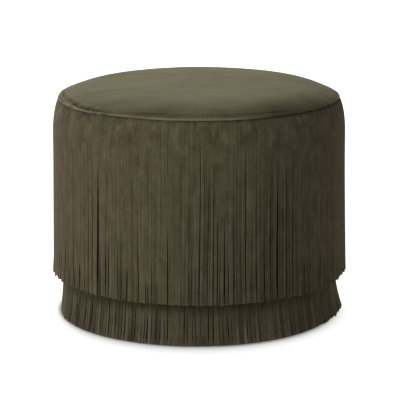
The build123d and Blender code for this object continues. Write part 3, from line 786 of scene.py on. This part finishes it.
def seat_skin():
    # A round skin in rings and spokes, a little low where it will swell
    verts, faces = [(0.0, 0.0, crown(0.0))], []
    for i in range(1, SEAT_RINGS + 1):
        r = SEAM_R * (1 - (1 - i / SEAT_RINGS) ** RING_CROWDING)
        low = SEAT_SWELL * band(r, SWELL_RING)
        for j in range(SEAT_SPOKES):
            phi = 2 * math.pi * j / SEAT_SPOKES
            verts.append(on_circle(r, phi, crown(r, phi) - low))
    for j in range(SEAT_SPOKES):
        faces.append((0, 1 + j, 1 + (j + 1) % SEAT_SPOKES))
    for i in range(SEAT_RINGS - 1):
        for j in range(SEAT_SPOKES):
            a = 1 + i * SEAT_SPOKES + j
            b = 1 + i * SEAT_SPOKES + (j + 1) % SEAT_SPOKES
            faces.append((a, a + SEAT_SPOKES, b + SEAT_SPOKES, b))
    return new_object("seat_top", verts, faces, TOP_SUEDE)


def seat_hold(r, phi):
    # How firmly the padding below holds the skin: sewn fast at the seam, loose just inside it
    return 1.0 if r > SEAM_R - SEWN_WIDTH else 0.6 - 0.54 * smooth(r, 0.20, 0.245)


def seat_tight(r, phi):
    # One where the skin is taut, less where it was eased into the seam
    front = 1 - smooth(abs(front_angle(phi) + 4), 10, 26)
    return 1 - smooth(r, 0.225, 0.25) * (0.03 + 0.08 * front + 0.10 * left_slack(phi))


def points_of(mesh):
    flat = np.empty(3 * len(mesh.vertices), np.float32)
    mesh.vertices.foreach_get("co", flat)
    return flat.reshape(-1, 3)


def swell(piece, hold, tight):
    # Cloth simulation: the skin puffs and puckers, and each point stays within reach of its start
    for name, weight in (("hold", hold), ("tight", tight)):
        group = piece.vertex_groups.new(name=name)
        for vertex in piece.data.vertices:
            x, y, _ = vertex.co
            group.add([vertex.index], weight(math.hypot(x, y), math.atan2(y, x)), "REPLACE")
    skin = piece.modifiers.new("skin", "CLOTH")
    skin.settings.vertex_group_mass = "hold"
    skin.settings.vertex_group_shrink = "tight"
    skin.settings.shrink_min = -SEAT_SLACK
    skin.settings.shrink_max = 0.0
    skin.settings.quality = SIM_QUALITY
    skin.settings.use_pressure = True
    skin.settings.uniform_pressure_force = SEAT_PRESSURE
    skin.settings.effector_weights.gravity = 0.0
    skin.collision_settings.use_collision = False
    skin.point_cache.frame_start = 1
    skin.point_cache.frame_end = SIM_FRAMES
    for now in range(1, SIM_FRAMES + 1):
        bpy.context.scene.frame_set(now)
    start = points_of(piece.data)
    moved = points_of(piece.evaluated_get(bpy.context.evaluated_depsgraph_get()).data) - start
    far = np.linalg.norm(moved, axis=1, keepdims=True)
    start += moved * np.minimum(1.0, SEAT_REACH / np.maximum(far, 1e-9))
    piece.modifiers.clear()
    piece.vertex_groups.clear()
    piece.data.vertices.foreach_set("co", start.ravel())
    bpy.context.scene.frame_set(1)


def top_painted_shade(r, phi):
    # Painted shade on the seat top: darker along the right front edge and on the left, with painted blotches
    # of shade and light in the slack rim
    edge = -0.22 * smooth(r, 0.222, 0.262) * band(front_angle(phi), DARK_EDGE)
    left = -0.055 * smooth(-r * math.cos(phi), 0.04, 0.20)
    rim = left_slack(phi) * smooth(r, 0.262, 0.274) * (0.34 * round_wave(26, phi, 34.0, r * 90.0) - 0.06)
    return edge + left + rim


def seam_groove(r, phi):
    # Rise of the skin beside the seam: a groove, and on the left the fold that the slack makes inside it
    az, slack = front_angle(phi), left_slack(phi)
    front = band(az, FRONT_GROOVE_SPAN)
    inset = SEAM_R - r - GROOVE_INSET - LEFT_INSET * smooth(-az, 46, 76) - FRONT_INSET * front
    inset += 0.0030 * slack * round_wave(27, phi, 15.0)
    groove = math.exp(-(inset / (GROOVE_WIDTH + 0.0005 * round_wave(21, phi, 14.0))) ** 2)
    uneven = round_wave(24, phi, 16.0)
    depth = LEFT_GROOVE * slack * (1 + 0.7 * uneven) + FRONT_GROOVE * front * (1 + 0.5 * uneven)
    return FOLD_HEIGHT * slack * math.exp(-((inset - FOLD_INSET) / FOLD_WIDTH) ** 2) - groove * depth


def sew(piece):
    # Stitches, edge waves, the groove and the painted shade
    tones = []
    for vertex in piece.data.vertices:
        x, y, z = vertex.co
        r, phi = math.hypot(x, y), math.atan2(y, x)
        edge = smooth(r, SEAM_R - 0.040, SEAM_R - 0.006)
        rim = smooth(r, SEAM_R - 0.016, SEAM_R - 0.001)
        sewn = 0.35 + 0.65 * (1 - smooth(abs(front_angle(phi) + 2), 8, 22))
        z -= rim * slack_dip(phi)
        z += edge * (round_wave(11, phi, 30.0) * 0.0003 + round_wave(12, phi, 70.0) * 0.0002)
        z += rim * sewn * STITCH_PUCKER * math.sin(phi * STITCHES + 3 * round_wave(19, phi, 9.0))
        vertex.co.z = z + seam_groove(r, phi) + SEAT_UNEVEN * wave(13, x * 5, y * 5)
        tones.append(top_painted_shade(r, phi))
    piece.data.attributes.new("tone", "FLOAT", "POINT").data.foreach_set("value", tones)
    piece.data.update()


top = seat_skin()
swell(top, seat_hold, seat_tight)
top.modifiers.new("finer", "SUBSURF").levels = 2
bake_modifiers(top)
sew(top)
thicken(top, SUEDE)
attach(top, "root")
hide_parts("top_cover")


# Rolled seam and its cord

ROLL_STEPS = 480
ROLL_SIZE, CORD_SIZE = 0.0022, 0.0009
SMALL_ROLL, PAINTED_ROLL_HIGHLIGHT = (17, 30, 130, 150), (-26, -14, 12, 18)


def seam_ring(name, section, size, material):
    # A tube that runs along the seam, thinner on the right, with painted shade on the right, a painted
    # highlight at the front and painted blotches of light and shade where the seam is slack
    verts, tones, faces = [], [], []
    for i in range(ROLL_STEPS):
        phi = 2 * math.pi * i / ROLL_STEPS
        az, slack = front_angle(phi), left_slack(phi)
        right = band(az, SMALL_ROLL)
        girth = size * (1 + 0.18 * round_wave(14, phi, 40.0))
        girth *= (1 + 0.35 * slack * round_wave(15, phi, 22.0)) * (1 - 0.42 * right)
        r0 = WELT_R + 0.0004 * round_wave(16, phi, 18.0)
        z0 = WELT_Z + 0.0005 * round_wave(17, phi, 14.0) - seam_fall(phi) - slack_dip(phi) - 0.0014 * slack
        # Painted shade on the right, a painted highlight at the front, painted blotches of light and shade
        # where slack
        tone = -0.26 * right + 0.12 * band(az, PAINTED_ROLL_HIGHLIGHT) + 0.45 * slack * round_wave(28, phi, 30.0)
        for j in range(section):
            t = 2 * math.pi * j / section
            verts.append(on_circle(r0 + girth * math.cos(t), phi, z0 + girth * math.sin(t)))
            tones.append(tone)
    for i in range(ROLL_STEPS):
        here, there = i * section, (i + 1) % ROLL_STEPS * section
        for j in range(section):
            beside = (j + 1) % section
            faces.append((here + j, there + j, there + beside, here + beside))
    return new_object(name, verts, faces, material, tones=tones)


roll = seam_ring("edge_roll", 12, ROLL_SIZE, ROLL_SUEDE_PAINTED_HIGHLIGHT)
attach(roll, "root")
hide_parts("edge_welt")
core = seam_ring("roll_cord", 8, CORD_SIZE, CORD)
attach(core, "root")
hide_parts("welt_cord")


# Lining, wadding and dust cover

LATHE_SPOKES = 180
LINING_INSET, HEADING_CLEAR = 0.0045, 0.0020
LINING_TOP, LINING_FOOT, LINING_TURN = 0.4375, 0.1232, 0.1226
TAIL_TOP, TAIL_END = 0.1218, 0.0970
WADDING_R, WADDING_EDGE_R, WADDING_BULGE = 0.2765, 0.2790, 0.0030
WADDING_SIDE_TOP, WADDING_FOOT, WADDING_INNER_R = 0.432, 0.3570, 0.2763
WADDING_DEPTH, WADDING_UNDERSIDE = 0.0062, 0.0132
WADDING_UNDER_RINGS = (0.268, 0.245, 0.20, 0.13, 0.05)
DUST_R, DUST_RINGS, DUST_Z, DUST_SAG = 0.2625, 48, 0.00985, 0.0026


def lathe(name, rings, material, closed_top=False, closed_foot=False):
    # Rings of (radius, height) functions of the angle, joined into a skin
    spokes = LATHE_SPOKES
    verts, faces = [], []
    for ring in rings:
        for j in range(spokes):
            phi = 2 * math.pi * j / spokes
            r, z = ring(phi)
            verts.append(on_circle(r, phi, z))
    for i in range(len(rings) - 1):
        for j in range(spokes):
            a, b = i * spokes + j, i * spokes + (j + 1) % spokes
            faces.append((a, a + spokes, b + spokes, b))
    for wanted, ring, order in ((closed_top, 0, 1), (closed_foot, len(rings) - 1, -1)):
        if wanted:
            around = range(ring * spokes, (ring + 1) * spokes)
            verts.append(tuple(np.mean([verts[v] for v in around], axis=0)))
            for j in range(spokes):
                pair = (around[j], around[(j + 1) % spokes])[::order]
                faces.append((len(verts) - 1, *pair))
    return new_object(name, verts, faces, material)


def lining_ring(z, tuck=0.0):
    # The lining covers the side padding, turns under its foot and runs down the wall
    def ring(phi):
        loose = upper_radius(max(z, SHOULDER_Z), phi) - LINING_INSET - HEADING_CLEAR * smooth(z, 0.37, 0.40)
        loose += 0.0003 * round_wave(31, phi, 12.0, z * 14.0)
        return loose + (WALL_R - loose) * tuck, z
    return ring


lining = lathe("lining_skirt", [lining_ring(z) for z in steps(LINING_TOP, LINING_FOOT, 36)]
               + [lining_ring(LINING_TURN, tuck) for tuck in (0.1, 0.5, 0.9)]
               + [lining_ring(z, 1.0) for z in steps(TAIL_TOP, TAIL_END, 4)], LINING)
thicken(lining, CLOTH)
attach(lining, "root")
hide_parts("side_lining")


def plain_ring(r, z):
    return lambda phi: (r, z)


def under_crown(r, depth):
    return crown(r * SEAM_R / WADDING_EDGE_R) - depth


def wadding_top(share):
    r = WADDING_R * share

    def ring(phi):
        lift = 0.0006 * wave(32, r * math.cos(phi) * 40, r * math.sin(phi) * 40)
        slack = left_slack(phi) * smooth(r, 0.235, 0.272) * 0.0045
        return r, under_crown(r, WADDING_DEPTH) + lift - slack
    return ring


def wadding_side(z):
    bulge = WADDING_BULGE * smooth(-z, -0.44, -0.40)
    return lambda phi: (WALL_R + bulge + 0.0005 * round_wave(33, phi, 20.0, z * 60), z)


def wadding_lip(r):
    return plain_ring(r, WADDING_FOOT + 0.024 * smooth(-r, -WADDING_EDGE_R, -0.2764))


wadding = lathe("wadding_pad", [wadding_top(1 - (1 - k / 30) ** RING_CROWDING) for k in range(1, 31)]
                + [wadding_side(z) for z in steps(WADDING_SIDE_TOP, WADDING_FOOT, 10)]
                + [wadding_lip(r) for r in (0.2785, 0.2768)]
                + [plain_ring(WADDING_INNER_R, z) for z in steps(0.382, 0.440, 5)]
                + [plain_ring(r, under_crown(r, WADDING_UNDERSIDE)) for r in WADDING_UNDER_RINGS],
                WADDING, closed_top=True, closed_foot=True)
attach(wadding, "root")
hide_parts("seat_wadding")


def dust_ring(r):
    # The dust cover sags a little inside its staples
    free = 1 - smooth(r, 0.16, 0.222)

    def ring(phi):
        wrinkle = 0.0005 * wave(34, r * math.cos(phi) * 22, r * math.sin(phi) * 22) * free
        return r, DUST_Z - DUST_SAG * free + wrinkle
    return ring


dust = lathe("dust_sheet", [dust_ring(DUST_R * k / DUST_RINGS) for k in range(DUST_RINGS, 0, -1)], DUST,
             closed_foot=True)
thicken(dust, CLOTH, offset=1.0)
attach(dust, "root")
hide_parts("dust_cover")


# Floor, light and camera

FLOOR_CORNERS = [(-9.0, -7.0, 0.0), (9.0, -7.0, 0.0), (9.0, 11.0, 0.0), (-9.0, 11.0, 0.0)]
SHADOW_R, SHADOW_TILT, SHADOW_OVAL = 0.2765, 0.0045, 0.0060
SHADOW_WIDTH, SHADOW_AHEAD = 0.007, 0.016
NEAR_SHARE, NEAR_RATE, FAR_SHARE, FAR_RATE = 0.70, 1.2, 0.30, 0.28
AMBIENT = 0.15
OVERHEAD_PLACE, OVERHEAD_AIM, OVERHEAD_SIZE, OVERHEAD_POWER = (-0.8, 2.7, 2.3), (0.0, 0.0, 0.4), 2.0, 99.0
PANEL_PLACE, PANEL_AIM, PANEL_SIZE, PANEL_POWER = (-1.5, -1.88, 1.4), (0.0, 0.0, 0.3), 2.2, 25.0
IMAGE_SIDE, SENSOR = 400.0, 36.0
FOCAL_PIXELS = 1901.4
CAMERA_PLACE, CAMERA_DOWN = (0.002, -3.786, 1.115), 13.23


def floor_shadow(m):
    # Contact shadow: how dark the white floor is, by distance from the hem
    where = m.place()
    away = m.add("VectorMath", {"operation": "LENGTH"})
    m.feed(away.inputs[0], where)
    away = away.outputs["Value"]
    axes = m.add("SeparateXYZ", Vector=where).outputs
    ahead = m.math("DIVIDE", m.math("MULTIPLY", axes["Y"], -1.0), away, clamp=True)
    width = m.math("ADD", m.math("MULTIPLY", m.math("MULTIPLY", ahead, ahead), SHADOW_AHEAD), SHADOW_WIDTH)
    aside = m.math("DIVIDE", axes["X"], away)
    hem = m.math("MULTIPLY", aside, m.math("SUBTRACT", m.math("MULTIPLY", aside, SHADOW_OVAL), SHADOW_TILT))
    hem = m.math("ADD", hem, SHADOW_R)
    out = m.math("MAXIMUM", m.math("DIVIDE", m.math("SUBTRACT", away, hem), width), 0.0)
    near, far = (m.math("POWER", math.e, m.math("MULTIPLY", out, -rate)) for rate in (NEAR_RATE, FAR_RATE))
    return m.weigh((near, NEAR_SHARE), (far, FAR_SHARE))


def stage_floor():
    m = Nodes("pale_floor")
    ray = m.add("LightPath").outputs
    seen = m.math("MAXIMUM", ray["Is Glossy Ray"], ray["Is Transmission Ray"])
    seen = m.math("MAXIMUM", ray["Is Camera Ray"], seen)
    white = m.math("SUBTRACT", 1.02, floor_shadow(m), clamp=True)
    strength = m.math("MULTIPLY", seen, white)
    glow = m.add("Emission", Color=(1.0, 1.0, 1.0, 1.0), Strength=strength).outputs[0]
    matte = m.add("BsdfDiffuse", Color=(0.60, 0.59, 0.57, 1.0)).outputs[0]
    both = m.add("AddShader")
    m.feed(both.inputs[0], matte)
    m.feed(both.inputs[1], glow)
    m.tree.nodes.remove(m.shader)
    m.feed(m.out.inputs["Surface"], both.outputs[0])
    made = new_object("floor", FLOOR_CORNERS, [(0, 1, 2, 3)], m.material)
    made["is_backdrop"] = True


def world_light():
    # Dim all round for the object, white behind it for the camera
    world = bpy.data.worlds.new("studio")
    bpy.context.scene.world = world
    world.use_nodes = True
    tree = world.node_tree
    back = tree.nodes["Background"]
    ray = tree.nodes.new("ShaderNodeLightPath")
    pick = tree.nodes.new("ShaderNodeMix")
    pick.data_type = "FLOAT"
    tree.links.new(ray.outputs["Is Camera Ray"], pick.inputs["Factor"])
    pick.inputs["A"].default_value = AMBIENT
    pick.inputs["B"].default_value = 1.0
    tree.links.new(pick.outputs["Result"], back.inputs["Strength"])
    back.inputs["Color"].default_value = (1.0, 1.0, 1.0, 1.0)


def area_light(name, place, aim, size, power):
    lamp = bpy.data.lights.new(name, "AREA")
    lamp.shape = "DISK"
    lamp.size = size
    lamp.energy = power
    made = bpy.data.objects.new(name, lamp)
    made.location = place
    made.rotation_euler = (Vector(aim) - Vector(place)).to_track_quat("-Z", "Y").to_euler()
    bpy.context.scene.collection.objects.link(made)


def camera():
    lens = bpy.data.cameras.new("photo_camera")
    lens.sensor_width = SENSOR
    lens.lens = FOCAL_PIXELS / IMAGE_SIDE * SENSOR
    lens.clip_end = 60.0
    made = bpy.data.objects.new("photo_camera", lens)
    made.location = CAMERA_PLACE
    made.rotation_euler = (math.radians(90.0 - CAMERA_DOWN), 0.0, 0.0)
    bpy.context.scene.collection.objects.link(made)
    bpy.context.scene.camera = made


stage_floor()
world_light()
area_light("overhead", OVERHEAD_PLACE, OVERHEAD_AIM, OVERHEAD_SIZE, OVERHEAD_POWER)
area_light("left_panel", PANEL_PLACE, PANEL_AIM, PANEL_SIZE, PANEL_POWER)
camera()
bpy.context.scene.view_settings.view_transform = "Standard"

boxes = {"cad": CAD_BOX, "visual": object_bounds()}
{key: [[float(x) for x in corner] for corner in box] for key, box in boxes.items()}
